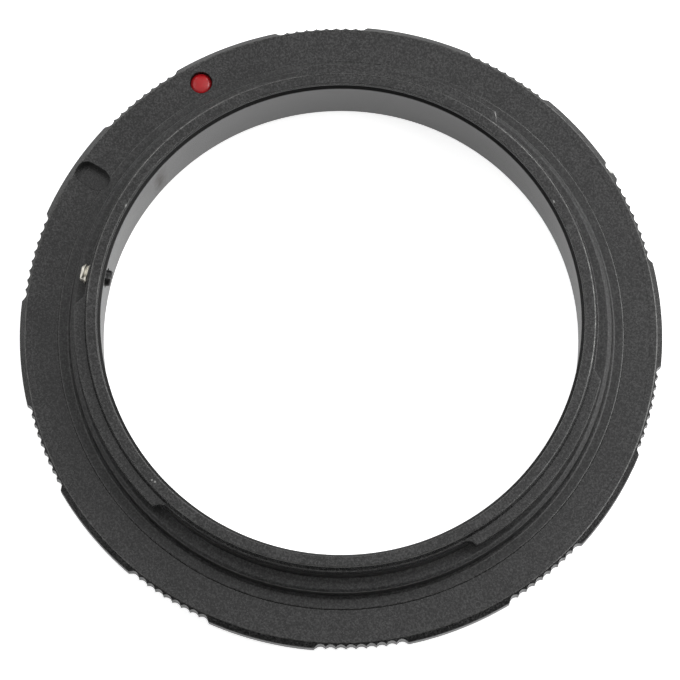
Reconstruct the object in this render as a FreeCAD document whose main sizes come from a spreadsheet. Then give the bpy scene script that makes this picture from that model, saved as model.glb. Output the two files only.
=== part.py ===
import FreeCAD, Part
import enum
import math
import os

import Sketcher

# Reverse ring: a flange with a bayonet on its upper side and a filter thread on its lower side.
# The ring stands on the end of its threaded tube, with the bore's axis on Z.
# Angles turn counterclockwise from the red index dot on the X axis, seen from the bayonet side.
# Lengths are in millimetres and angles in degrees.
SIZES = {
    # register that centres the ring in a 54 mm throat
    "register_radius": 26.85,
    "register_height": 1.9,
    "register_foot": 0.3,
    "register_chamfer_width": 0.35,
    "register_chamfer_drop": 0.2,
    # flange outside the register: a narrow raised seat, the lower face and the rim
    "seat_width": 1.3,
    "seat_rise": 0.2,
    "flange_width": 3.85,
    "flange_thickness": 1.7,
    "rim_chamfer": 0.55,
    "rim_edge_break": 0.08,
    # neck inside the register, with a tapered lip above the lugs
    "ledge_width": 1.5,
    "neck_wall": 1.65,
    "lip_height": 0.8,
    "lip_step": 0.1,
    "lip_taper": 0.15,
    # bayonet collar, and the room below it for the camera's own lugs
    "lug_reach": 0.95,
    "lug_thickness": 1.4,
    "lug_room": 1.6,
    # gaps milled between the lugs, with the angles taken at the lugs' outer corners
    "mill_stock": 0.05,
    "mill_overrun": 0.4,
    "lug_slant": 2.1,
    "lug_flare": 0.9,
    "lug_two_end": 227.9,
    "lug_three_start": 295.75,
    "lug_three_end": 339.5,
    # gap between the first and second lug, milled with an end cutter that leaves round corners
    "cutter_radius": 1.2,
    "cutter_plunge": 0.03,
    "cutter_start": 109.9,
    "cutter_end": 179.2,
    # bore, with a shallow counterbore at its mouth and a chamfer at its exit
    "mouth_widening": 0.25,
    "mouth_depth": 0.72,
    "bore_exit_chamfer": 0.2,
    "web_drop": 1.0,
    # threaded tube under the flange, for a 58 mm filter thread
    "thread_inset": 3.0,
    "thread_length": 4.2,
    "thread_chamfer": 0.5,
    "thread_relief_width": 0.8,
    "thread_relief_depth": 0.6,
    "tube_wall": 2.0,
    # knurl on the rim, round grooves cut in groups
    "knurl_groove_radius": 0.65,
    "knurl_depth": 0.42,
    "knurl_pitch": 1.8,
    "knurl_start": 3.9,
    # slot for the camera's lock pin, in the flange's face
    "slot_angle": 28.55,
    "slot_half_width": 1.125,
    "slot_inset": 0.25,
    "slot_rim_margin": 0.5,
    "slot_depth": 1.3,
    # red index dot in its recess
    "dot_inset": 1.38,
    "dot_recess_radius": 1.1,
    "dot_recess_depth": 0.7,
    "dot_side_clearance": 0.01,
    "dot_edge_height": 0.35,
    "dot_crown": 0.15,
    # stop screw through the neck, beside the first lug
    "screw_angle": 50.0,
    "screw_to_lug": 8.2,
    "screw_floor": 0.1,
    "screw_hole_radius": 1.0,
    "screw_side_clearance": 0.02,
    "screw_recess": 0.3,
    "screw_projection": 0.9,
    "screw_end_chamfer": 0.2,
    "screw_slot_half_width": 0.2,
    "screw_slot_depth": 0.5,
    # nick knocked out of the rim
    "nick_angle": 274.2,
    "nick_radius": 0.6,
    "nick_depth": 0.36,
}
KNURL_GROOVES = 9
KNURL_GROUPS = 10
FULL_TURN = 360.0

# Radii from the bore's axis, as sums of named sizes.
REGISTER = "register_radius"
SEAT_EDGE = REGISTER + " + seat_width"
RIM = SEAT_EDGE + " + flange_width"
NECK = REGISTER + " - ledge_width"
LUG = NECK + " + lug_reach"
MILLED_NECK = NECK + " + mill_stock"
BORE = NECK + " - neck_wall"
THREAD = RIM + " - thread_inset"
TUBE_INNER = THREAD + " - tube_wall"
DOT_ORBIT = SEAT_EDGE + " + dot_inset"
SCREW_INNER_END = BORE + " + screw_recess"
SCREW_OUTER_END = NECK + " + screw_projection"
SCREW_RADIUS = "screw_hole_radius - screw_side_clearance"
SLOT_INNER_CENTRE = SEAT_EDGE + " - slot_inset + slot_half_width"
SLOT_OUTER_CENTRE = RIM + " - slot_rim_margin - slot_half_width"

# Levels above the foot of the threaded tube.
FLANGE_FOOT = "thread_length"
WEB_FOOT = FLANGE_FOOT + " - web_drop"
FACE = FLANGE_FOOT + " + flange_thickness"
SEAT = FACE + " + seat_rise"
LEDGE = SEAT + " + register_height"
LUG_FOOT = LEDGE + " + lug_room"
LUG_TOP = LUG_FOOT + " + lug_thickness"
NECK_TOP = LUG_TOP + " + lip_height"
SCREW_AXIS = LEDGE + " + screw_floor + screw_hole_radius"

LUG_ONE_START = "screw_angle + screw_to_lug"

class Spot(enum.IntEnum):
    """Points of a sketch element, as the sketcher numbers them."""
    START = 1
    END = 2
    CENTRE = 3


class Axis(enum.IntEnum):
    """A sketch's own axes, which both start at its origin."""
    ACROSS = -1
    UP = -2


doc = FreeCAD.newDocument("reverse_ring")
sheet = doc.addObject("Spreadsheet::Sheet", "sizes")
for row, (alias, size) in enumerate(SIZES.items(), start=1):
    sheet.set("A%d" % row, alias)
    sheet.set("B%d" % row, str(size))
    sheet.setAlias("B%d" % row, alias)
doc.recompute()


def value(terms):
    """Number that a sum of named sizes, such as "rim_radius - rim_chamfer", comes to."""
    result = 0.0
    sign = 1.0
    for word in terms.split():
        if word in "+-":
            sign = 1.0 if word == "+" else -1.0
        else:
            result += sign * sheet.get(word)
    return result


def formula(terms):
    """The same sum written with the sheet's cells."""
    return " ".join(word if word in "+-" else "sizes." + word for word in terms.split())


def origin_feature(body, role):
    return next(item for item in body.Origin.OriginFeatures if item.Role == role)


def new_body(label):
    body = doc.addObject("PartDesign::Body", label)
    body.Label = label
    return body


def new_sketch(body, name, plane, level=None, turn=None, turn_axis=(0, 0, 1)):
    """Sketch on one of the body's own planes, raised to a level and turned by a named angle."""
    sketch = body.newObject("Sketcher::SketchObject", name)
    sketch.AttachmentSupport = [(origin_feature(body, plane), "")]
    sketch.MapMode = "FlatFace"
    if turn:
        rotation = FreeCAD.Rotation(FreeCAD.Vector(*turn_axis), value(turn))
        sketch.AttachmentOffset = FreeCAD.Placement(FreeCAD.Vector(), rotation)
        sketch.setExpression("AttachmentOffset.Rotation.Angle", formula(turn))
    if level:
        sketch.setExpression("AttachmentOffset.Base.z", formula(level))
    return sketch


def bind(sketch, constraint, terms):
    """Adds a dimension and ties it to the sheet."""
    index = sketch.addConstraint(constraint)
    sketch.setExpression("Constraints[%d]" % index, formula(terms))


def place_point(sketch, element, point, across, up):
    """Holds a point at named distances from the sketch's origin; an empty name puts it on that axis."""
    for kind, terms, axis in (("DistanceX", across, Axis.UP), ("DistanceY", up, Axis.ACROSS)):
        if terms:
            length = Sketcher.Constraint(kind, Axis.ACROSS, Spot.START, element, point, value(terms))
            bind(sketch, length, terms)
        else:
            sketch.addConstraint(Sketcher.Constraint("PointOnObject", element, point, axis))


def meet(sketch, element, point, other, other_point):
    sketch.addConstraint(Sketcher.Constraint("Coincident", element, point, other, other_point))


def outline(sketch, corners):
    """Closed outline of straight lines through corners given as pairs of named sums."""
    points = [FreeCAD.Vector(value(across), value(up), 0) for across, up in corners]
    lines = []
    for begin, finish in zip(points, points[1:] + points[:1]):
        lines.append(sketch.addGeometry(Part.LineSegment(begin, finish)))
    for line, following in zip(lines, lines[1:] + lines[:1]):
        meet(sketch, line, Spot.END, following, Spot.START)
    for line, (across, up) in zip(lines, corners):
        place_point(sketch, line, Spot.START, across, up)


def circle(sketch, across, up, radius):
    centre = FreeCAD.Vector(value(across), value(up), 0)
    ring = sketch.addGeometry(Part.Circle(centre, FreeCAD.Vector(0, 0, 1), value(radius)))
    place_point(sketch, ring, Spot.CENTRE, across, up)
    bind(sketch, Sketcher.Constraint("Radius", ring, value(radius)), radius)


def spoke(sketch, angle, reach, fixed_length):
    """Construction line from the origin at a named angle; returns it with the position of its tip."""
    turn = math.radians(value(angle))
    tip = FreeCAD.Vector(math.cos(turn), math.sin(turn), 0) * value(reach)
    line = sketch.addGeometry(Part.LineSegment(FreeCAD.Vector(), tip), True)
    meet(sketch, line, Spot.START, Axis.ACROSS, Spot.START)
    bind(sketch, Sketcher.Constraint("Angle", line, turn), angle)
    if fixed_length:
        bind(sketch, Sketcher.Constraint("Distance", line, value(reach)), reach)
    return line, tip


def arc_about_axis(sketch, start_angle, end_angle, radius):
    """Arc about the origin between two named angles; returns it with the positions of its ends."""
    first, first_tip = spoke(sketch, start_angle, radius, True)
    last, last_tip = spoke(sketch, end_angle, radius, False)
    whole = Part.Circle(FreeCAD.Vector(), FreeCAD.Vector(0, 0, 1), value(radius))
    limits = math.radians(value(start_angle)), math.radians(value(end_angle))
    arc = sketch.addGeometry(Part.ArcOfCircle(whole, *limits))
    meet(sketch, arc, Spot.CENTRE, Axis.ACROSS, Spot.START)
    meet(sketch, arc, Spot.START, first, Spot.END)
    meet(sketch, arc, Spot.END, last, Spot.END)
    return arc, first_tip, last_tip


def lug_gap(sketch, neck_start, neck_end, outer_start, outer_end):
    """Sector between two lugs, from the milled neck to just outside the lugs."""
    inner, inner_first, inner_last = arc_about_axis(sketch, neck_start, neck_end, MILLED_NECK)
    outer, outer_first, outer_last = arc_about_axis(sketch, outer_start, outer_end, LUG + " + mill_overrun")
    for point, begin, finish in ((Spot.START, inner_first, outer_first), (Spot.END, inner_last, outer_last)):
        side = sketch.addGeometry(Part.LineSegment(begin, finish))
        meet(sketch, side, Spot.START, inner, point)
        meet(sketch, side, Spot.END, outer, point)


def revolve(body, name, sketch, axis):
    feature = body.newObject("PartDesign::Revolution", name)
    feature.Profile = sketch
    feature.ReferenceAxis = (sketch, [axis])
    feature.Angle = FULL_TURN
    doc.recompute()
    return feature


def pocket(body, name, sketch, depth, forward=False):
    """Cut of a named depth, downwards from the sketch or forward along its normal."""
    feature = body.newObject("PartDesign::Pocket", name)
    feature.Profile = sketch
    feature.setExpression("Length", formula(depth))
    feature.Reversed = forward
    doc.recompute()
    return feature


# Ring body: turned from one bar, then milled, drilled and knurled.
ring_body = new_body("ring_body")
profile = new_sketch(ring_body, "ring_profile", "XZ_Plane")
outline(profile, [
    (TUBE_INNER, ""),
    (THREAD + " - thread_chamfer", ""),
    (THREAD, "thread_chamfer"),
    (THREAD, FLANGE_FOOT + " - thread_relief_width"),
    (THREAD + " - thread_relief_depth", FLANGE_FOOT + " - thread_relief_width"),
    (THREAD + " - thread_relief_depth", FLANGE_FOOT),
    (RIM + " - rim_edge_break", FLANGE_FOOT),
    (RIM, FLANGE_FOOT + " + rim_edge_break"),
    (RIM, FACE + " - rim_chamfer"),
    (RIM + " - rim_chamfer", FACE),
    (SEAT_EDGE, FACE),
    (SEAT_EDGE, SEAT),
    (REGISTER + " + register_foot", SEAT),
    (REGISTER, SEAT + " + register_foot"),
    (REGISTER, LEDGE + " - register_chamfer_drop"),
    (REGISTER + " - register_chamfer_width", LEDGE),
    (NECK, LEDGE),
    (NECK, LUG_FOOT),
    (LUG, LUG_FOOT),
    (LUG, LUG_TOP),
    (NECK + " - lip_step", LUG_TOP),
    (NECK + " - lip_step - lip_taper", NECK_TOP),
    (BORE + " + mouth_widening", NECK_TOP),
    (BORE + " + mouth_widening", NECK_TOP + " - mouth_depth"),
    (BORE, NECK_TOP + " - mouth_depth - mouth_widening"),
    (BORE, WEB_FOOT + " + bore_exit_chamfer"),
    (BORE + " + bore_exit_chamfer", WEB_FOOT),
    (TUBE_INNER, WEB_FOOT),
])
revolve(ring_body, "turned_ring", profile, "V_Axis")

# The turned collar becomes three lugs of different lengths, so the ring enters the throat one way only.
gaps = new_sketch(ring_body, "lug_gap_outlines", "XY_Plane", level=LUG_TOP)
lug_gap(gaps, "cutter_start", "cutter_end", "cutter_start", "cutter_end")
lug_gap(
    gaps,
    "lug_two_end + lug_slant", "lug_three_start - lug_slant",
    "lug_two_end - lug_flare", "lug_three_start + lug_flare",
)
lug_gap(
    gaps,
    "lug_three_end + lug_slant", LUG_ONE_START + " - lug_slant",
    "lug_three_end - lug_flare", LUG_ONE_START + " + lug_flare",
)
pocket(ring_body, "lug_gaps", gaps, "lug_thickness + mill_overrun")

# The end cutter leaves the first lug's end and the second lug's start hollow.
for name, angle in (("first_lug_end", "cutter_start"), ("second_lug_start", "cutter_end")):
    corner = new_sketch(ring_body, name + "_outline", "XY_Plane", level=LUG_TOP, turn=angle)
    circle(corner, MILLED_NECK + " + cutter_radius - cutter_plunge", "", "cutter_radius")
    pocket(ring_body, name, corner, "lug_thickness + mill_overrun")

# Blind slot for the lock pin; its outer end just breaks into the rim's chamfer.
lock = new_sketch(ring_body, "lock_slot_outline", "XY_Plane", level=SEAT, turn="slot_angle")
ends = []
for reach, start in ((SLOT_INNER_CENTRE, 0.5 * math.pi), (SLOT_OUTER_CENTRE, -0.5 * math.pi)):
    centre = FreeCAD.Vector(value(reach), 0, 0)
    whole = Part.Circle(centre, FreeCAD.Vector(0, 0, 1), value("slot_half_width"))
    end = lock.addGeometry(Part.ArcOfCircle(whole, start, start + math.pi))
    place_point(lock, end, Spot.CENTRE, reach, "")
    ends.append(end)
inner_end, outer_end = ends
for outer_point, inner_point, side in ((Spot.END, Spot.START, 1.0), (Spot.START, Spot.END, -1.0)):
    height = side * value("slot_half_width")
    outer_corner = FreeCAD.Vector(value(SLOT_OUTER_CENTRE), height, 0)
    inner_corner = FreeCAD.Vector(value(SLOT_INNER_CENTRE), height, 0)
    flank = lock.addGeometry(Part.LineSegment(outer_corner, inner_corner))
    lock.addConstraint(Sketcher.Constraint("Tangent", flank, Spot.START, outer_end, outer_point))
    lock.addConstraint(Sketcher.Constraint("Tangent", flank, Spot.END, inner_end, inner_point))
lock.addConstraint(Sketcher.Constraint("Equal", inner_end, outer_end))
bind(lock, Sketcher.Constraint("Radius", inner_end, value("slot_half_width")), "slot_half_width")
pocket(ring_body, "lock_slot", lock, "seat_rise + slot_depth")

dot_seat = new_sketch(ring_body, "dot_recess_outline", "XY_Plane", level=FACE)
circle(dot_seat, DOT_ORBIT, "", "dot_recess_radius")
pocket(ring_body, "dot_recess", dot_seat, "dot_recess_depth")

# Radial hole through the neck wall on one side only, drilled from the axis outwards.
drill = new_sketch(ring_body, "screw_hole_outline", "YZ_Plane", turn="screw_angle", turn_axis=(0, 1, 0))
circle(drill, "", SCREW_AXIS, "screw_hole_radius")
pocket(ring_body, "screw_hole", drill, LUG, forward=True)

nick = new_sketch(ring_body, "rim_nick_outline", "XY_Plane", level=FACE, turn="nick_angle")
circle(nick, RIM + " + nick_radius - nick_depth", "", "nick_radius")
pocket(ring_body, "rim_nick", nick, "flange_thickness")

# One groove, repeated along a group and the group repeated round the rim.
groove = new_sketch(ring_body, "knurl_groove_outline", "XY_Plane", turn="knurl_start")
circle(groove, RIM + " + knurl_groove_radius - knurl_depth", "", "knurl_groove_radius")
first_groove = pocket(ring_body, "knurl_groove", groove, LEDGE, forward=True)
along_group = ring_body.newObject("PartDesign::PolarPattern", "grooves_in_group")
along_group.Axis = (origin_feature(ring_body, "Z_Axis"), [""])
along_group.Occurrences = KNURL_GROOVES
along_group.setExpression("Angle", "sizes.knurl_pitch * %d" % (KNURL_GROOVES - 1))
round_rim = ring_body.newObject("PartDesign::PolarPattern", "groups_round_rim")
round_rim.Axis = (origin_feature(ring_body, "Z_Axis"), [""])
round_rim.Occurrences = KNURL_GROUPS
round_rim.Angle = FULL_TURN
knurl = ring_body.newObject("PartDesign::MultiTransform", "knurl")
knurl.Originals = [first_groove]
knurl.Transformations = [along_group, round_rim]
ring_body.Tip = knurl
doc.recompute()

# Index dot: red enamel with a crowned top, standing on the floor of its recess.
index_dot = new_body("index_dot")
dot_profile = new_sketch(index_dot, "dot_profile", "XZ_Plane")
outline(dot_profile, [
    ("", ""),
    ("dot_recess_radius - dot_side_clearance", ""),
    ("dot_recess_radius - dot_side_clearance", "dot_edge_height"),
    ("", "dot_edge_height + dot_crown"),
])
index_dot.Tip = revolve(index_dot, "enamel", dot_profile, "V_Axis")
index_dot.setExpression("Placement.Base.x", formula(DOT_ORBIT))
index_dot.setExpression("Placement.Base.z", formula(FACE + " - dot_recess_depth"))

# Stop screw: headless, its driver slot towards the bore and its chamfered end standing out of the neck.
stop_screw = new_body("stop_screw")
shank = new_sketch(stop_screw, "screw_profile", "XZ_Plane")
outline(shank, [
    (SCREW_INNER_END, ""),
    (SCREW_OUTER_END, ""),
    (SCREW_OUTER_END, SCREW_RADIUS + " - screw_end_chamfer"),
    (SCREW_OUTER_END + " - screw_end_chamfer", SCREW_RADIUS),
    (SCREW_INNER_END, SCREW_RADIUS),
])
revolve(stop_screw, "screw_shank", shank, "H_Axis")
driver = new_sketch(stop_screw, "driver_slot_outline", "XY_Plane", level="screw_hole_radius")
outline(driver, [
    (SCREW_INNER_END + " - screw_slot_depth", "- screw_slot_half_width"),
    (SCREW_INNER_END + " + screw_slot_depth", "- screw_slot_half_width"),
    (SCREW_INNER_END + " + screw_slot_depth", "screw_slot_half_width"),
    (SCREW_INNER_END + " - screw_slot_depth", "screw_slot_half_width"),
])
stop_screw.Tip = pocket(stop_screw, "driver_slot", driver, "screw_hole_radius + screw_hole_radius")
turned = FreeCAD.Rotation(FreeCAD.Vector(0, 0, 1), value("screw_angle"))
stop_screw.Placement = FreeCAD.Placement(FreeCAD.Vector(0, 0, value(SCREW_AXIS)), turned)
stop_screw.setExpression("Placement.Base.z", formula(SCREW_AXIS))
stop_screw.setExpression("Placement.Rotation.Angle", formula("screw_angle"))
doc.recompute()

for item in doc.Objects:
    if "Invalid" in item.State or "Error" in item.State:
        raise RuntimeError("feature failed: " + item.Name)
os.makedirs("parts", exist_ok=True)
for body in (ring_body, index_dot, stop_screw):
    if body.Shape.isNull() or not body.Shape.isValid():
        raise RuntimeError("bad shape: " + body.Label)
    body.Shape.exportStep("parts/%s.step" % body.Label)
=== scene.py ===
import math

import bmesh
import bpy
from mathutils import Matrix, Vector


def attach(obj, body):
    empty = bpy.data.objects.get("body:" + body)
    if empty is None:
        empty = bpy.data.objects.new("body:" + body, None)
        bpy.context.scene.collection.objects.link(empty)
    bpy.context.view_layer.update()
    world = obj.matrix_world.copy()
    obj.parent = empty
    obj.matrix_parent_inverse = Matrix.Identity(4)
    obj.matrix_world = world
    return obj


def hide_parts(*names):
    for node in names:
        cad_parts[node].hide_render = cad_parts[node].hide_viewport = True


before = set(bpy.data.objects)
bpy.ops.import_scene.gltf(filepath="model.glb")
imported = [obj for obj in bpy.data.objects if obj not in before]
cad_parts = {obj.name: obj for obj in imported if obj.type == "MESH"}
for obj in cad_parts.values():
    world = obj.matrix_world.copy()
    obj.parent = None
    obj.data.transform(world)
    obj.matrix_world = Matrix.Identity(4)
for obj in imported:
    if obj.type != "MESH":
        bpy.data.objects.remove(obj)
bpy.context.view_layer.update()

# The ring body is one piece of aluminium: turned from bar, milled into three lugs, knurled on its rim, then
# bead-blasted and anodised black. Its threaded tube is drawn here at the root of the thread.
# Sizes are in millimetres, heights count from the tube's foot and angles from the index dot, in degrees.
MM = 0.001
WEB_FOOT = 3.2
FLANGE_FOOT = 4.2
FACE = 5.9
SEAT = 6.1
LEDGE = 8.0
LUG_FOOT = 9.6
LUG_TOP = 11.0
NECK_TOP = 11.8
RIM_RADIUS = 32.0
RIM_CHAMFER = 0.55
SEAT_RADIUS = 28.15
REGISTER_RADIUS = 26.85
REGISTER_CONE = 0.3
LEDGE_RADIUS = 26.5
LEDGE_CHAMFER = 0.2
NECK_RADIUS = 25.35
MILLED_RADIUS = 25.4
LUG_RADIUS = 26.3
LIP_FOOT_RADIUS = 25.25
LIP_RADIUS = 25.1
MOUTH_RADIUS = 24.08
MOUTH_FOOT_RADIUS = 24.04
MOUTH_DEPTH = 0.5
BORE_RADIUS = 23.7
WEB_CHAMFER = 0.2
TUBE_RADIUS = 27.0
THREAD_ROOT = 28.54
THREAD_CREST = 29.0
THREAD_LEAD = 0.34
RELIEF_RADIUS = 28.4
RELIEF_FOOT = 3.4
RELIEF_SLOPE = 0.05
LUG_SLANT = 2.1
CUTTER_RADIUS = 1.2
CUTTER_SUNK = 0.03
COLUMNS = 1200
LONGEST_ROUNDING = 0.45


def polar(radius, degrees):
    return Vector((math.cos(math.radians(degrees)), math.sin(math.radians(degrees)))) * radius


def slanted_end(past):
    """Collar radius at an angle past a lug's outer corner, where the mill cut the end on the slant."""
    left = 1.0 - max(0.0, min(1.0, past / LUG_SLANT))
    return MILLED_RADIUS + (LUG_RADIUS - MILLED_RADIUS) * left


def hollow_end(past):
    """Collar radius at an angle past the middle of the round cutter that hollowed a lug's end."""
    if past >= 0.0:
        return MILLED_RADIUS
    reach = MILLED_RADIUS + CUTTER_RADIUS - CUTTER_SUNK
    aside = reach * math.sin(math.radians(-past))
    if aside >= CUTTER_RADIUS:
        return LUG_RADIUS
    floor = reach * math.cos(math.radians(past)) - math.sqrt(CUTTER_RADIUS ** 2 - aside * aside)
    return min(LUG_RADIUS, floor)


# each lug's two ends: the angle, and how the end was milled
LUGS = (
    (58.2, slanted_end, 109.9, hollow_end),
    (179.2, hollow_end, 227.9, slanted_end),
    (295.75, slanted_end, 339.5, slanted_end),
)


def collar_radius(angle):
    """Outer radius of the bayonet collar at an angle."""
    for first, first_end, last, last_end in LUGS:
        if first - LUG_SLANT < angle < last + LUG_SLANT:
            return min(first_end(first - angle), last_end(angle - last))
    return MILLED_RADIUS


def ring_section(angle):
    """Corners of the half section at an angle: radius, height, reach of the rounding and its steps."""
    collar = collar_radius(angle)
    mouth_foot = NECK_TOP - MOUTH_DEPTH
    return [
        (TUBE_RADIUS, 0.0, 0.1, 1),
        (THREAD_ROOT - THREAD_LEAD, 0.0, 0.0, 0),
        (THREAD_ROOT, THREAD_LEAD, 0.0, 0),
        (THREAD_ROOT, RELIEF_FOOT, 0.0, 0),
        (RELIEF_RADIUS, RELIEF_FOOT + RELIEF_SLOPE, 0.0, 0),
        (RELIEF_RADIUS, FLANGE_FOOT, 0.05, 1),
        (RIM_RADIUS, FLANGE_FOOT, 0.09, 1),
        (RIM_RADIUS, FACE - RIM_CHAMFER, 0.05, 1),
        (RIM_RADIUS - RIM_CHAMFER, FACE, 0.08, 2),
        (SEAT_RADIUS, FACE, 0.04, 1),
        (SEAT_RADIUS, SEAT, 0.14, 3),
        (REGISTER_RADIUS + REGISTER_CONE, SEAT, 0.1, 2),
        (REGISTER_RADIUS, SEAT + REGISTER_CONE, 0.06, 1),
        (REGISTER_RADIUS, LEDGE - LEDGE_CHAMFER, 0.06, 1),
        (LEDGE_RADIUS, LEDGE, 0.07, 1),
        (NECK_RADIUS, LEDGE, 0.1, 2),
        (NECK_RADIUS, LUG_FOOT, 0.05, 1),
        (collar, LUG_FOOT, 0.07, 1),
        (collar, LUG_TOP, 0.08, 2),
        (LIP_FOOT_RADIUS, LUG_TOP, 0.03, 1),
        (LIP_RADIUS, NECK_TOP, 0.13, 3),
        (MOUTH_RADIUS, NECK_TOP, 0.07, 2),
        (MOUTH_FOOT_RADIUS, mouth_foot, 0.04, 1),
        (BORE_RADIUS, mouth_foot - (MOUTH_FOOT_RADIUS - BORE_RADIUS), 0.04, 1),
        (BORE_RADIUS, WEB_FOOT + WEB_CHAMFER, 0.0, 0),
        (BORE_RADIUS + WEB_CHAMFER, WEB_FOOT, 0.0, 0),
        (TUBE_RADIUS, WEB_FOOT, 0.1, 1),
    ]


def rounded_section(corners):
    """Section with its marked corners rounded, and for each point whether a rounding runs on through it."""
    points, inside = [], []
    for index, (radius, height, reach, steps) in enumerate(corners):
        corner = Vector((radius, height))
        if not steps:
            points.append(corner)
            inside.append(False)
            continue
        ends = []
        for side in (index - 1, (index + 1) % len(corners)):
            away = Vector(corners[side][:2]) - corner
            ends.append(corner + away.normalized() * min(reach, LONGEST_ROUNDING * away.length))
        for step in range(steps + 1):
            share = step / steps
            along = ends[0].lerp(corner, share)
            points.append(along.lerp(corner.lerp(ends[1], share), share))
            inside.append(0 < step < steps)
    return points, inside


def mesh_object(name, mesh):
    piece = bpy.data.objects.new(name, mesh)
    bpy.context.scene.collection.objects.link(piece)
    return piece


def turned_ring():
    """Quads between one section per column, closed on itself both ways."""
    vertices = []
    for column in range(COLUMNS):
        angle = column * 360.0 / COLUMNS
        across = polar(1.0, angle).to_3d()
        section, inside = rounded_section(ring_section(angle))
        vertices += [(across * point.x + Vector((0.0, 0.0, point.y))) * MM for point in section]
    size = len(section)
    faces = []
    for column in range(COLUMNS):
        here, there = column * size, (column + 1) % COLUMNS * size
        for index in range(size):
            after = (index + 1) % size
            faces.append((here + index, there + index, there + after, here + after))
    mesh = bpy.data.meshes.new("ring_body_turned")
    mesh.from_pydata(vertices, [], faces)
    rounded = mesh.attributes.new("rounded_edge", "BOOLEAN", "EDGE")
    for edge in mesh.edges:
        first, last = (vertex % size for vertex in edge.vertices)
        rounded.data[edge.index].value = first == last and inside[first]
    return mesh_object("anodised_ring", mesh)


class Value:
    """A value in a node tree; arithmetic on it adds Math nodes."""

    def __init__(self, nodes, socket):
        self.nodes = nodes
        self.socket = socket

    def math(self, operation, *others):
        return self.nodes.add("ShaderNodeMath", {"operation": operation}, [self, *others])

    def swapped(self, operation, other):
        return self.nodes.add("ShaderNodeMath", {"operation": operation}, [other, self])

    def __add__(self, other):
        return self.math("ADD", other)

    def __sub__(self, other):
        return self.math("SUBTRACT", other)

    def __mul__(self, other):
        return self.math("MULTIPLY", other)

    def __truediv__(self, other):
        return self.math("DIVIDE", other)

    def __rsub__(self, other):
        return self.swapped("SUBTRACT", other)

    def __rtruediv__(self, other):
        return self.swapped("DIVIDE", other)

    __radd__ = __add__
    __rmul__ = __mul__

    def __lt__(self, other):
        return self.math("LESS_THAN", other)

    def __gt__(self, other):
        return self.math("GREATER_THAN", other)

    def held(self):
        """The value kept between 0 and 1."""
        return self.math("MAXIMUM", 0.0).math("MINIMUM", 1.0)

    def out(self, name):
        return Value(self.nodes, self.socket.node.outputs[name])


class Nodes:
    """Adds nodes to one tree: the settings first, then the values or links of the sockets."""

    def __init__(self, tree):
        self.tree = tree

    def add(self, kind, settings=None, sockets=(), output=0):
        node = self.tree.nodes.new(kind)
        for name, setting in (settings or {}).items():
            setattr(node, name, setting)
        wanted = sockets.items() if isinstance(sockets, dict) else enumerate(sockets)
        for key, value in wanted:
            if isinstance(value, Value):
                self.tree.links.new(value.socket, node.inputs[key])
            else:
                node.inputs[key].default_value = value
        return Value(self, node.outputs[output]) if node.outputs else None


def in_millimetres(nodes, place):
    """A place's x, y and z and its distance from the ring's axis."""
    parts = nodes.add("ShaderNodeSeparateXYZ", None, [place])
    x, y, z = parts / MM, parts.out("Y") / MM, parts.out("Z") / MM
    return x, y, z, (x * x + y * y).math("SQRT")


def new_tree(name, sizes):
    """Geometry tree with a mesh going in and out and named numbers for its sizes."""
    tree = bpy.data.node_groups.new(name, "GeometryNodeTree")
    tree.interface.new_socket("Geometry", in_out="INPUT", socket_type="NodeSocketGeometry")
    for label in sizes:
        tree.interface.new_socket(label, in_out="INPUT", socket_type="NodeSocketFloat")
    tree.interface.new_socket("Geometry", in_out="OUTPUT", socket_type="NodeSocketGeometry")
    nodes = Nodes(tree)
    entry = nodes.add("NodeGroupInput")
    return tree, nodes, entry


def close_tree(nodes, geometry, material):
    """Ends a tree in real geometry with its material."""
    real = nodes.add("GeometryNodeRealizeInstances", None, {"Geometry": geometry})
    dressed = nodes.add("GeometryNodeSetMaterial", None, {"Geometry": real, "Material": material})
    nodes.add("NodeGroupOutput", None, {"Geometry": dressed})


def add_tree(piece, tree, sizes):
    modifier = piece.modifiers.new(tree.name, "NODES")
    modifier.node_group = tree
    for item in tree.interface.items_tree:
        if item.in_out == "INPUT" and item.name in sizes:
            modifier[item.identifier] = float(sizes[item.name])


KNURL = {
    "Grooves": 9, "Group spacing": 36.0, "Pitch": 1.8, "First groove": 3.9, "Groove radius": 0.65,
    "Groove depth": 0.42, "Rim radius": RIM_RADIUS, "Worn edge": 0.26,
    "Chamfer foot": FACE - RIM_CHAMFER - 0.1,
}
NO_GROOVE = 0.000001
FAR_OUTSIDE = 10.0


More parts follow.
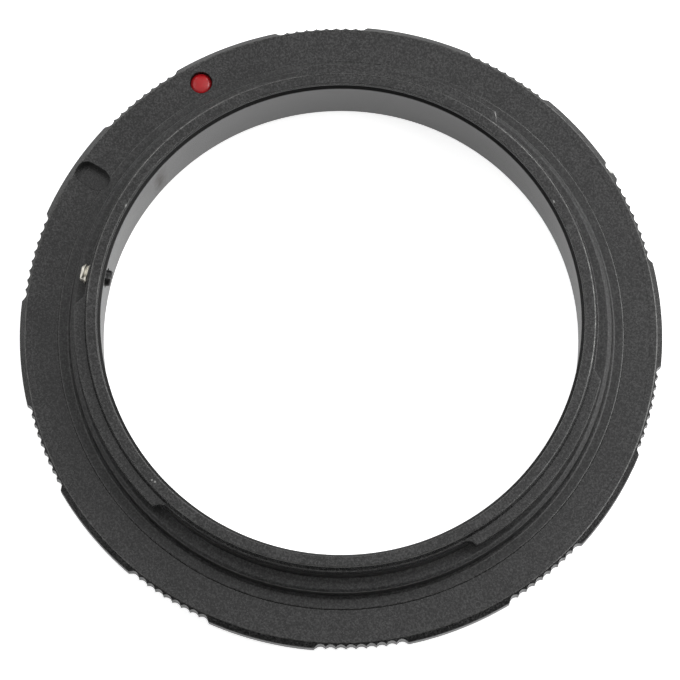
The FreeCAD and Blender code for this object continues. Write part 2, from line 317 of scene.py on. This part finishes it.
def knurl_tree(material, sizes):
    """Presses groups of round grooves into the rim of a turned ring; the chamfer follows each groove."""
    tree, nodes, entry = new_tree("rim_knurl", sizes)
    size = {label: entry.out(label) for label in sizes}
    place = nodes.add("GeometryNodeInputPosition")
    x, y, z, radius = in_millimetres(nodes, place)
    turn = y.math("ARCTAN2", x).math("DEGREES") - size["First groove"]
    last_groove = size["Grooves"] - 1.0
    group_middle = size["Pitch"] * last_groove * 0.5
    half_spacing = size["Group spacing"] * 0.5
    in_group = turn.math("WRAP", group_middle + half_spacing, group_middle - half_spacing)
    groove = (in_group / size["Pitch"]).math("ROUND").math("MAXIMUM", 0.0).math("MINIMUM", last_groove)
    aside = (in_group - groove * size["Pitch"]).math("RADIANS")
    reach = size["Rim radius"] + size["Groove radius"] - size["Groove depth"]
    half_chord = reach * aside.math("SINE")
    under = (size["Groove radius"] * size["Groove radius"] - half_chord * half_chord).math("MAXIMUM", 0.0)
    # clear of a groove the floor stands far outside, so the plain lands between groups stay whole
    floor = reach * aside.math("COSINE") - under.math("SQRT") + (under < NO_GROOVE) * FAR_OUTSIDE
    # the crests and the ends of the plain lands are worn round
    limit = floor.math("SMOOTH_MIN", size["Rim radius"], size["Worn edge"])
    kept = radius.math("MINIMUM", limit)
    lifted = z + (radius - kept) * (z > size["Chamfer foot"])
    scale = kept / radius * MM
    moved = nodes.add("ShaderNodeCombineXYZ", None, [x * scale, y * scale, lifted * MM])
    knurled = nodes.add("GeometryNodeSetPosition", None, {"Geometry": entry, "Position": moved})
    close_tree(nodes, knurled, material)
    return tree


def prism(name, outline, levels):
    """Closed cutter from a flat outline at rising heights, each with how far the outline is grown there."""
    mesh = bpy.data.meshes.new(name)
    middle = sum(outline, Vector((0.0, 0.0))) / len(outline)
    vertices = []
    for height, grow in levels:
        for point in outline:
            away = point - middle
            spread = point + away.normalized() * grow
            vertices.append(Vector((spread.x, spread.y, height)) * MM)
    count = len(outline)
    top = len(vertices) - count
    faces = [tuple(reversed(range(count))), tuple(range(top, top + count))]
    for level in range(0, top, count):
        for index in range(count):
            after = (index + 1) % count
            faces.append((level + index, level + after, level + count + after, level + count + index))
    mesh.from_pydata(vertices, [], faces)
    return mesh_object(name, mesh)


def turns_of(count):
    return [2.0 * math.pi * step / count for step in range(count)]


def circle_outline(centre, radius, sides):
    return [centre + Vector((math.cos(turn), math.sin(turn))) * radius for turn in turns_of(sides)]


SLOT_TURN = 28.55
SLOT_INNER = 29.025
SLOT_OUTER = 30.375
SLOT_HALF_WIDTH = 1.125
SLOT_DEPTH = 1.3
SLOT_SPARE = 0.3
SLOT_END_STEPS = 16


def slot_outline():
    """Outline of the lock slot: two half rounds, the inner one nearer to the ring's middle."""
    along = polar(1.0, SLOT_TURN)
    beside = Vector((-along.y, along.x))
    points = []
    for centre, first in ((SLOT_OUTER, -90.0), (SLOT_INNER, 90.0)):
        for step in range(SLOT_END_STEPS + 1):
            turn = math.radians(first + step * 180.0 / SLOT_END_STEPS)
            out = centre + SLOT_HALF_WIDTH * math.cos(turn)
            points.append(along * out + beside * SLOT_HALF_WIDTH * math.sin(turn))
    return points


def new_material(name):
    material = bpy.data.materials.new(name)
    material.use_nodes = True
    material.node_tree.nodes.clear()
    return material, Nodes(material.node_tree)


def finish_material(nodes, shader):
    nodes.add("ShaderNodeOutputMaterial", None, {"Surface": shader})


def object_place(nodes):
    return nodes.add("ShaderNodeTexCoord", None, (), "Object")


def noise(nodes, place, scale, detail, roughness):
    sockets = {"Vector": place, "Scale": scale, "Detail": detail, "Roughness": roughness}
    return nodes.add("ShaderNodeTexNoise", None, sockets)


# a Mix node gives its colour at this output
COLOUR_RESULT = 2


def mixed(nodes, factor, first, second):
    """A colour between two others."""
    sockets = {"Factor": factor, "A": first, "B": second}
    return nodes.add("ShaderNodeMix", {"data_type": "RGBA"}, sockets, COLOUR_RESULT)


class RingPoint:
    """A point of the ring in a material: its place, and how near it lies to an edge or a mark."""

    def __init__(self, nodes):
        self.place = object_place(nodes)
        self.x, self.y, self.z, self.radius = in_millimetres(nodes, self.place)

    def near_edge(self, edge_radius, edge_height, reach):
        """From 1 on a turned edge to 0 at its reach."""
        out, up = self.radius - edge_radius, self.z - edge_height
        return (1.0 - (out * out + up * up).math("SQRT") / reach).math("MAXIMUM", 0.0)

    def near_spot(self, spot_radius, degrees, spot_height, reach):
        """From 1 in the middle of a small spot to 0 at its reach."""
        middle = polar(spot_radius, degrees)
        aside, along, up = self.x - middle.x, self.y - middle.y, self.z - spot_height
        distance = (aside * aside + along * along + up * up).math("SQRT")
        return (1.0 - distance / reach).math("MAXIMUM", 0.0)

    def over_lug(self):
        """1 at the angles of the three lugs and 0 at the gaps between them."""
        turn = self.y.math("ARCTAN2", self.x).math("DEGREES")
        over = 0.0
        # past half a turn the arc tangent gives the angle less a whole turn
        for first, _, last, _ in LUGS:
            whole_turn = 360.0 if last > 180.0 else 0.0
            over = over + (turn > first - whole_turn) * (turn < last - whole_turn)
        return over


LUG_EDGE_REACH = 0.045
LUG_EDGE_FROM = LIP_FOOT_RADIUS + 0.05
LIP_WEAR_REACH = 0.12
LIP_WEAR = 1.2
LIP_SHELTER = 0.95
LUG_EDGE_WEAR = 0.6
# edges that handling rubs: radius, height, reach of the wear and its strength
RUBBED_EDGES = (
    (RIM_RADIUS - RIM_CHAMFER, FACE, 0.1, 0.4),
    (SEAT_RADIUS, SEAT, 0.12, 0.4),
    (REGISTER_RADIUS, LEDGE - LEDGE_CHAMFER, 0.08, 0.7),
    (MOUTH_RADIUS, NECK_TOP, 0.08, 0.8),
)
# chips through to the metal, in the nick, at the mouth and on the neck: radius, angle, height, reach and
# strength
CHIPS = (
    (RIM_RADIUS - 0.12, 273.35, FACE - 0.4, 0.36, 2.0),
    (MOUTH_RADIUS, 33.3, NECK_TOP, 0.2, 0.4),
    (MOUTH_RADIUS, 270.8, NECK_TOP, 0.2, 0.5),
    (24.6, 104.0, NECK_TOP, 0.12, 0.5),
    (24.7, 103.2, NECK_TOP, 0.1, 0.5),
)
LUG_CHIP = (26.1, 295.3, LUG_TOP, 0.45)
LUG_CHIP_STRENGTH = 3.0


def edge_wear(point):
    """How far the dye is rubbed off the edges, and how far it is chipped through to the metal."""
    lug_top = (point.z - LUG_TOP + LUG_EDGE_REACH).math("ABSOLUTE") / LUG_EDGE_REACH
    lug_edge = (1.0 - lug_top).math("MAXIMUM", 0.0) * (point.radius > LUG_EDGE_FROM)
    # the lip above a lug is sheltered by it and keeps its dye
    lip_wear = LIP_WEAR - LIP_SHELTER * point.over_lug()
    rubbed = point.near_edge(LIP_RADIUS, NECK_TOP, LIP_WEAR_REACH) * lip_wear + lug_edge * LUG_EDGE_WEAR
    for radius, height, reach, strength in RUBBED_EDGES:
        rubbed = rubbed + point.near_edge(radius, height, reach) * strength
    chipped = point.near_spot(*LUG_CHIP) * lug_edge * LUG_CHIP_STRENGTH
    for radius, degrees, height, reach, strength in CHIPS:
        chipped = chipped + point.near_spot(radius, degrees, height, reach) * strength
    return rubbed, chipped


SMEAR_TURN = 21.2
SMEAR_REACH = 1.1
SMEAR_FOOT = 3.5
SMEAR_TOP = NECK_TOP - 1.2
SMEAR_FADE = 2.5
BORE_DYE = (0.006, 0.006, 0.006, 1.0)
SMEAR_BROWN = (0.045, 0.032, 0.029, 1.0)


def bore_finish(nodes, point, mottle, patches):
    """The bore's dye is deep and even, with a faint brownish smear on one side."""
    middle = polar(BORE_RADIUS, SMEAR_TURN)
    aside, along = point.x - middle.x, point.y - middle.y
    smear = (1.0 - (aside * aside + along * along).math("SQRT") / SMEAR_REACH).held()
    smear = smear * ((point.z - SMEAR_FOOT) / SMEAR_FADE).held()
    smear = smear * ((SMEAR_TOP - point.z) / SMEAR_FADE).held()
    blotch = (smear * 1.1 * (patches * 2.4 - 0.5)).held()
    dye = mixed(nodes, blotch, BORE_DYE, SMEAR_BROWN)
    return nodes.add("ShaderNodeBsdfPrincipled", None, {
        "Base Color": dye, "Roughness": 0.22 + 0.07 * mottle + 0.3 * blotch, "IOR": 1.85,
    })


PIT_BLACK = (0.001, 0.001, 0.001, 1.0)
GRAIN_BLACK = (0.045, 0.045, 0.045, 1.0)
THIN_DYE = (0.16, 0.16, 0.155, 1.0)
BARE_METAL = (0.8, 0.8, 0.78, 1.0)
INNER_RADIUS = 28.0
FACE_LINE_RADIUS = 30.7
FACE_LINE_WIDTH = 0.1
FACE_LINE_HEIGHT = 0.008
GRAIN_HEIGHT = 0.012


def anodised_material():
    material, nodes = new_material("black_anodised")
    point = RingPoint(nodes)
    grain = noise(nodes, point.place, scale=5200.0, detail=3.0, roughness=0.7)
    mottle = noise(nodes, point.place, scale=260.0, detail=4.0, roughness=0.6)
    patches = noise(nodes, point.place, scale=1700.0, detail=3.0, roughness=0.65)
    lathe_lines = {"W": point.radius, "Scale": 3.5, "Detail": 3.0}
    turned = nodes.add("ShaderNodeTexNoise", {"noise_dimensions": "1D"}, lathe_lines)
    # handling has rubbed the dye thin along the edges, in dashes, and a few chips go through to the metal
    rubbed, chipped = edge_wear(point)
    dashes = 0.25 + 0.75 * (patches * 6.0 - 2.6).held()
    worn = (rubbed * 1.5 * dashes + chipped * 2.0).held()
    # the blast leaves every outer face grainy; the bore was masked and keeps its smooth turned wall
    bore = point.radius < 0.5 * (MOUTH_RADIUS + MOUTH_FOOT_RADIUS)
    blasted = 1.0 - bore
    pitted = (grain * 4.0 - 1.72 + (mottle - 0.5) * 0.6 + (turned - 0.5) * 0.4).held()
    black = mixed(nodes, pitted, PIT_BLACK, GRAIN_BLACK)
    thinned = mixed(nodes, worn, black, THIN_DYE)
    colour = mixed(nodes, chipped.held(), thinned, BARE_METAL)
    # the steps between the seat and the lugs are left a little rougher
    inner = (point.radius < INNER_RADIUS) * (point.z < LUG_FOOT)
    roughness = 0.18 + 0.08 * mottle + 0.06 * turned + 0.2 * inner
    # a fine turned line runs round the face, the metal outside it standing a hair higher
    shoulder = ((point.radius - FACE_LINE_RADIUS) / FACE_LINE_WIDTH).held()
    height = blasted * (grain * GRAIN_HEIGHT + shoulder * FACE_LINE_HEIGHT)
    bump = nodes.add("ShaderNodeBump", None, {"Strength": 1.0, "Distance": MM, "Height": height})
    outside = nodes.add("ShaderNodeBsdfPrincipled", None, {
        "Base Color": colour, "Metallic": worn, "Roughness": roughness, "IOR": 1.52, "Normal": bump,
    })
    inside = bore_finish(nodes, point, mottle, patches)
    shader = nodes.add("ShaderNodeMixShader", None, [bore, outside, inside])
    finish_material(nodes, shader)
    return material


def bake_mesh(piece, cutters=()):
    """Replaces a piece's modifiers by the mesh they give, less what its cutters take away, shaded smooth."""
    for cutter in cutters:
        cut = piece.modifiers.new(cutter.name, "BOOLEAN")
        cut.operation = "DIFFERENCE"
        cut.solver = "EXACT"
        cut.object = cutter
    evaluated = piece.evaluated_get(bpy.context.evaluated_depsgraph_get())
    mesh = bpy.data.meshes.new_from_object(evaluated)
    piece.modifiers.clear()
    piece.data = mesh
    mesh.shade_smooth()
    for cutter in cutters:
        bpy.data.objects.remove(cutter)
    return mesh


SHARP_IN_SECTION = 6.0
SHARP_AROUND = 32.0
ALONG_RING = 0.9


def sharpen_ring(mesh):
    """Leaves the mesh smooth round the ring and across each rounding, and makes its other edges sharp."""
    shape = bmesh.new()
    shape.from_mesh(mesh)
    rounded = shape.edges.layers.bool["rounded_edge"]
    for edge in shape.edges:
        start, end = (vertex.co for vertex in edge.verts)
        around = Vector((-start.y, start.x, 0.0)).normalized()
        runs_round = abs((end - start).normalized().dot(around)) > ALONG_RING
        turn = math.degrees(edge.calc_face_angle(0.0))
        edge.smooth = edge[rounded] or turn < (SHARP_IN_SECTION if runs_round else SHARP_AROUND)
    shape.edges.layers.bool.remove(rounded)
    shape.to_mesh(mesh)
    shape.free()


anodised = anodised_material()
ring = turned_ring()
add_tree(ring, knurl_tree(anodised, KNURL), KNURL)

# the lock slot, the dot's recess, the nick in the rim and the stop screw's hole are cut into the turned ring
EDGE_BREAK = 0.05
NICK_SPARE = 0.5
DOT_ORBIT = 29.53
RECESS_RADIUS = 1.1
RECESS_DEPTH = 0.7
NICK_TURN = 274.2
NICK_RADIUS = 0.6
NICK_OUT = 0.24
HOLE_RADIUS = 1.0
HOLE_START = 20.0
HOLE_END = 26.6
SCREW_TURN = 50.0
SCREW_HEIGHT = LEDGE + 1.1
broken_edge = [(FACE - EDGE_BREAK, 0.0), (FACE + EDGE_BREAK, 2.0 * EDGE_BREAK)]
slot_levels = [(FACE - SLOT_DEPTH, 0.0), *broken_edge, (SEAT + SLOT_SPARE, 2.0 * EDGE_BREAK)]
slot_cutter = prism("slot_cutter", slot_outline(), slot_levels)
recess_outline = circle_outline(polar(DOT_ORBIT, 0.0), RECESS_RADIUS, sides=48)
dot_cutter = prism("dot_cutter", recess_outline, [(FACE - RECESS_DEPTH, 0.0), *broken_edge])
nick_outline = circle_outline(polar(RIM_RADIUS + NICK_OUT, NICK_TURN), NICK_RADIUS, sides=40)
nick_levels = [(FLANGE_FOOT - NICK_SPARE, 0.0), (FACE + NICK_SPARE, 0.0)]
nick_cutter = prism("nick_cutter", nick_outline, nick_levels)
hole_outline = circle_outline(Vector((0.0, 0.0)), HOLE_RADIUS, sides=40)
hole_cutter = prism("hole_cutter", hole_outline, [(HOLE_START, 0.0), (HOLE_END, 0.0)])
screw_laid = (
    Matrix.Translation((0.0, 0.0, SCREW_HEIGHT * MM)) @ Matrix.Rotation(math.radians(SCREW_TURN), 4, "Z")
    @ Matrix.Rotation(math.radians(90.0), 4, "Y")
)
hole_cutter.data.transform(screw_laid)
sharpen_ring(bake_mesh(ring, [slot_cutter, dot_cutter, nick_cutter, hole_cutter]))
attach(ring, "root")
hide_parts("ring_body")

# The filter thread is cut into the outside of the tube under the flange, a fine single-start thread that
# screws into the front of a lens. It is anodised with the ring.
THREAD_SUNK = 0.04
THREAD_START = 0.42
FILTER_THREAD = {
    "Turns": 3.6, "Pitch": 0.75, "Middle radius": 0.5 * (THREAD_ROOT + THREAD_CREST - THREAD_SUNK),
    "Depth": THREAD_CREST - THREAD_ROOT + THREAD_SUNK, "Root width": 0.66, "Crest width": 0.12,
}
POINTS_PER_TURN = 160


def thread_tree(name, material, sizes):
    """Ridge that climbs a cylinder: a trapezium swept along a helix."""
    tree, nodes, entry = new_tree(name, sizes)
    size = {label: entry.out(label) * MM for label in sizes if label != "Turns"}
    turns = entry.out("Turns")
    helix = nodes.add("GeometryNodeCurveSpiral", None, {
        "Resolution": POINTS_PER_TURN, "Rotations": turns, "Start Radius": size["Middle radius"],
        "End Radius": size["Middle radius"], "Height": size["Pitch"] * turns,
    })
    upright = nodes.add("GeometryNodeSetCurveNormal", {"mode": "Z_UP"}, {"Curve": helix})
    section = nodes.add("GeometryNodeCurvePrimitiveQuadrilateral", {"mode": "TRAPEZOID"}, {
        "Height": size["Depth"], "Bottom Width": size["Root width"], "Top Width": size["Crest width"],
        "Offset": 0.0,
    })
    quarter_turn = (0.0, 0.0, 0.5 * math.pi)
    outward = nodes.add("GeometryNodeTransform", None, {"Geometry": section, "Rotation": quarter_turn})
    ridge = nodes.add("GeometryNodeCurveToMesh", None, {
        "Curve": upright, "Profile Curve": outward, "Fill Caps": True,
    })
    close_tree(nodes, ridge, material)
    return tree


def thread_ridge(name, tree_name, material, sizes, start, sharp_degrees):
    """Piece that holds one thread's ridge, climbing along Z from its start."""
    piece = mesh_object(name, bpy.data.meshes.new(name + "_start"))
    add_tree(piece, thread_tree(tree_name, material, sizes), sizes)
    bake_mesh(piece).set_sharp_from_angle(angle=math.radians(sharp_degrees))
    piece.data.transform(Matrix.Translation((0.0, 0.0, start * MM)))
    return piece


filter_thread = thread_ridge(
    "filter_thread", "filter_thread_ridge", anodised, FILTER_THREAD, THREAD_START, sharp_degrees=24.0,
)
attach(filter_thread, "root")

# The index dot is red enamel, the mark that lines the ring up with the camera. It was run into a drilled
# recess in the face and dried with a slight crown, which stays below the face.
DOT_CLEARANCE = 0.01
DOT_RADIUS = RECESS_RADIUS - DOT_CLEARANCE
DOT_EDGE = 0.12
DOT_CROWN = 0.38
DOT_STEPS = 12
DEEP_RED = (0.28, 0.006, 0.009, 1.0)
LIGHT_RED = (0.43, 0.012, 0.015, 1.0)


def enamel_material():
    material, nodes = new_material("red_enamel")
    cloud = noise(nodes, object_place(nodes), scale=1800.0, detail=3.0, roughness=0.5)
    red = mixed(nodes, cloud, DEEP_RED, LIGHT_RED)
    bump = nodes.add("ShaderNodeBump", None, {"Strength": 0.15, "Distance": 0.03 * MM, "Height": cloud})
    shader = nodes.add("ShaderNodeBsdfPrincipled", None, {
        "Base Color": red, "Roughness": 0.16 + 0.1 * cloud, "IOR": 1.45, "Normal": bump,
    })
    finish_material(nodes, shader)
    return material


def lathe(name, section, sides):
    """Solid of revolution about Z from a section that starts and ends on the axis."""
    shape = bmesh.new()
    rings = []
    for radius, height in section:
        turns = turns_of(sides if radius else 1)
        places = [(radius * math.cos(turn), radius * math.sin(turn), height) for turn in turns]
        rings.append([shape.verts.new(place) for place in places])
    for low, high in zip(rings, rings[1:]):
        for step in range(sides):
            after = (step + 1) % sides
            below = [low[step % len(low)], low[after % len(low)]]
            above = [high[after % len(high)], high[step % len(high)]]
            shape.faces.new(list(dict.fromkeys(below + above)))
    mesh = bpy.data.meshes.new(name)
    shape.to_mesh(mesh)
    shape.free()
    return mesh_object(name, mesh)


dome = [(0.0, 0.0), (DOT_RADIUS, 0.0), (DOT_RADIUS, DOT_EDGE)]
for step in range(1, DOT_STEPS):
    slope = math.radians(90.0 * step / DOT_STEPS)
    dome.append((DOT_RADIUS * math.cos(slope), DOT_EDGE + DOT_CROWN * math.sin(slope)))
dome.append((0.0, DOT_EDGE + DOT_CROWN))
dot = lathe("enamel_dot", dome, sides=48)
recess_floor = Vector((DOT_ORBIT, 0.0, FACE - RECESS_DEPTH))
dot.data.transform(Matrix.Translation(recess_floor * MM) @ Matrix.Scale(MM, 4))
dot.data.materials.append(enamel_material())
bake_mesh(dot).set_sharp_from_angle(angle=math.radians(40.0))
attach(dot, "root")
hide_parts("index_dot")

# The stop screw is a short headless steel screw in a hole through the neck. Its slotted end stands a little
# proud in the bore and is coloured near black and not metallic; its bright end stands out beside a lug and
# stops the turn.
# It is drawn upright, with its lengths counted from the ring's axis, and then laid into its hole.
SLOTTED_END = 23.2
OUTER_END = 26.25
CORE_RADIUS = 0.84
CORE_START = 24.0
POINT_RADIUS = 0.78
END_CHAMFER = 0.12
OUTER_CHAMFER = 0.15
DRIVER_HALF_LENGTH = 1.2
DRIVER_HALF_WIDTH = 0.2
DRIVER_DEPTH = 0.55
DRIVER_SPARE = 0.4
SCREW_THREAD_START = 24.2
SCREW_CREST = 0.98
SCREW_SUNK = 0.01
SCREW_THREAD = {
    "Turns": 4.6, "Pitch": 0.4, "Middle radius": 0.5 * (CORE_RADIUS + SCREW_CREST - SCREW_SUNK),
    "Depth": SCREW_CREST - CORE_RADIUS + SCREW_SUNK, "Root width": 0.36, "Crest width": 0.06,
}
BRIGHT_FROM = 24.6
DULL_STEEL = (0.66, 0.63, 0.55, 1.0)
CLEAN_STEEL = (0.92, 0.89, 0.8, 1.0)
INNER_END_BLACK = (0.01, 0.01, 0.01, 1.0)


def steel_material():
    material, nodes = new_material("bright_steel")
    point = RingPoint(nodes)
    tarnish = noise(nodes, point.place, scale=2500.0, detail=3.0, roughness=0.6)
    shade = mixed(nodes, tarnish, DULL_STEEL, CLEAN_STEEL)
    # inward of BRIGHT_FROM the screw's steel is coloured near black and is not metallic
    bright = point.radius > BRIGHT_FROM
    finish = mixed(nodes, bright, INNER_END_BLACK, shade)
    shader = nodes.add("ShaderNodeBsdfPrincipled", None, {
        "Base Color": finish, "Metallic": bright, "Roughness": 0.22 + 0.2 * tarnish,
    })
    finish_material(nodes, shader)
    return material


steel = steel_material()
screw = lathe("stop_screw_core", [
    (0.0, SLOTTED_END),
    (POINT_RADIUS - END_CHAMFER, SLOTTED_END),
    (POINT_RADIUS, SLOTTED_END + END_CHAMFER),
    (CORE_RADIUS, CORE_START),
    (CORE_RADIUS, OUTER_END - OUTER_CHAMFER),
    (CORE_RADIUS - END_CHAMFER, OUTER_END),
    (0.0, OUTER_END),
], sides=40)
screw.data.transform(Matrix.Scale(MM, 4))
screw.data.materials.append(steel)
driver_outline = [
    Vector((DRIVER_HALF_LENGTH * end, DRIVER_HALF_WIDTH * side))
    for end, side in ((-1, -1), (1, -1), (1, 1), (-1, 1))
]
driver_levels = [(SLOTTED_END - DRIVER_SPARE, 0.0), (SLOTTED_END + DRIVER_DEPTH, 0.0)]
driver_cutter = prism("driver_cutter", driver_outline, driver_levels)
bake_mesh(screw, [driver_cutter]).set_sharp_from_angle(angle=math.radians(30.0))
screw_thread = thread_ridge(
    "stop_screw_thread", "stop_screw_ridge", steel, SCREW_THREAD, SCREW_THREAD_START, sharp_degrees=30.0,
)
for piece in (screw, screw_thread):
    piece.data.transform(screw_laid)
    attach(piece, "root")
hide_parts("stop_screw")

# The stage is a white table under a wide soft light, with smaller soft boxes at both sides and behind. The
# table shows itself to the camera, and a little to reflections, whiter than its lights make it.
# The room's own light is dim and comes mostly from the far side.
AWAY = Vector((0.8802, -0.4745, 0.0))
RIGHT = Vector((AWAY.y, -AWAY.x, 0.0))
UP = Vector((0.0, 0.0, 1.0))
WHITE = (1.0, 1.0, 1.0, 1.0)
TABLE_WHITE = (0.85, 0.85, 0.85, 1.0)
TABLE_HALF = 2.0
SHOWN_TO_CAMERA = 0.78
SHOWN_TO_REFLECTIONS = 0.2


def table_material():
    material, nodes = new_material("white_table")
    rays = nodes.add("ShaderNodeLightPath", None, (), "Is Camera Ray")
    shown = rays * SHOWN_TO_CAMERA + rays.out("Is Glossy Ray") * SHOWN_TO_REFLECTIONS
    matt = nodes.add("ShaderNodeBsdfDiffuse", None, {"Color": TABLE_WHITE})
    glow = nodes.add("ShaderNodeEmission", None, {"Color": WHITE, "Strength": shown})
    both = nodes.add("ShaderNodeAddShader", None, [matt, glow])
    finish_material(nodes, both)
    return material


table_corners = [(TABLE_HALF * x, TABLE_HALF * y, 0.0) for x, y in ((-1, -1), (1, -1), (1, 1), (-1, 1))]
table_mesh = bpy.data.meshes.new("table")
table_mesh.from_pydata(table_corners, [], [(0, 1, 2, 3)])
table = mesh_object("table", table_mesh)
table_mesh.materials.append(table_material())


def soft_light(name, place, size, watts):
    """Round soft light at a place, in metres, that faces the ring."""
    lamp = bpy.data.lights.new(name, "AREA")
    lamp.shape = "DISK"
    lamp.size = size
    lamp.energy = watts
    light = bpy.data.objects.new(name, lamp)
    light.matrix_world = Matrix.Translation(place) @ (-place).to_track_quat("-Z", "Y").to_matrix().to_4x4()
    bpy.context.scene.collection.objects.link(light)


soft_light("overhead", UP + AWAY * 0.1, size=1.4, watts=3.2)
soft_light("overhead_right", UP + RIGHT * 0.38 + AWAY * 0.25, size=0.7, watts=0.65)
soft_light("right_box", RIGHT * 0.75 + UP * 0.65 + AWAY * 0.2, size=0.73, watts=5.4)
soft_light("near_right_box", RIGHT * 0.615 + UP * 0.744 - AWAY * 0.262, size=0.26, watts=1.5)
soft_light("near_left_box", RIGHT * -0.615 + UP * 0.744 - AWAY * 0.262, size=0.26, watts=0.6)
soft_light("left_box", RIGHT * -0.75 + UP * 0.65 + AWAY * 0.2, size=0.73, watts=1.7)
soft_light("back_right_box", AWAY * 0.71 + RIGHT * 0.46 + UP * 0.53, size=0.42, watts=2.0)
soft_light("back_left_box", AWAY * 0.71 - RIGHT * 0.46 + UP * 0.53, size=0.42, watts=1.2)

ROOM_LEVEL = 0.18
ROOM_AWAY = 0.15
ROOM_RIGHT = 0.05
ROOM_DARKEST = 0.05
world = bpy.data.worlds.new("room")
world.use_nodes = True
world.node_tree.nodes.clear()
room = Nodes(world.node_tree)
heading = room.add("ShaderNodeTexCoord", None, (), "Generated")


def towards(direction):
    return room.add("ShaderNodeVectorMath", {"operation": "DOT_PRODUCT"}, [heading, direction], "Value")


level = ROOM_LEVEL + ROOM_AWAY * towards(AWAY) + ROOM_RIGHT * towards(RIGHT)
seen = room.add("ShaderNodeLightPath", None, (), "Is Camera Ray")
strength = seen + (1.0 - seen) * level.math("MAXIMUM", ROOM_DARKEST)
backdrop = room.add("ShaderNodeBackground", None, {"Color": WHITE, "Strength": strength})
room.add("ShaderNodeOutputWorld", None, {"Surface": backdrop})
bpy.context.scene.world = world

# The camera stands nearly overhead, half a metre off, where the one that took the photograph stood. It aims
# a little short of the middle of the face.
CAMERA_DISTANCE = 518.5
CAMERA_TILT = math.radians(75.56)
CAMERA_ROLL = math.radians(-0.21)
AIM_SHORT = 0.817
AIM_LEFT = 0.1
lens = bpy.data.cameras.new("camera")
lens.sensor_width = 36.0
lens.lens = 275.95
lens.clip_start = 0.01
face_middle = UP * FACE
aim = face_middle - AWAY * AIM_SHORT - RIGHT * AIM_LEFT
camera_height = UP * (CAMERA_DISTANCE * math.sin(CAMERA_TILT))
stand = face_middle - AWAY * CAMERA_DISTANCE * math.cos(CAMERA_TILT) + camera_height
camera = bpy.data.objects.new("camera", lens)
camera.matrix_world = (
    Matrix.Translation(stand * MM) @ (aim - stand).to_track_quat("-Z", "Y").to_matrix().to_4x4()
    @ Matrix.Rotation(CAMERA_ROLL, 4, "Z")
)
bpy.context.scene.collection.objects.link(camera)
bpy.context.scene.camera = camera
bpy.context.scene.view_settings.view_transform = "Standard"
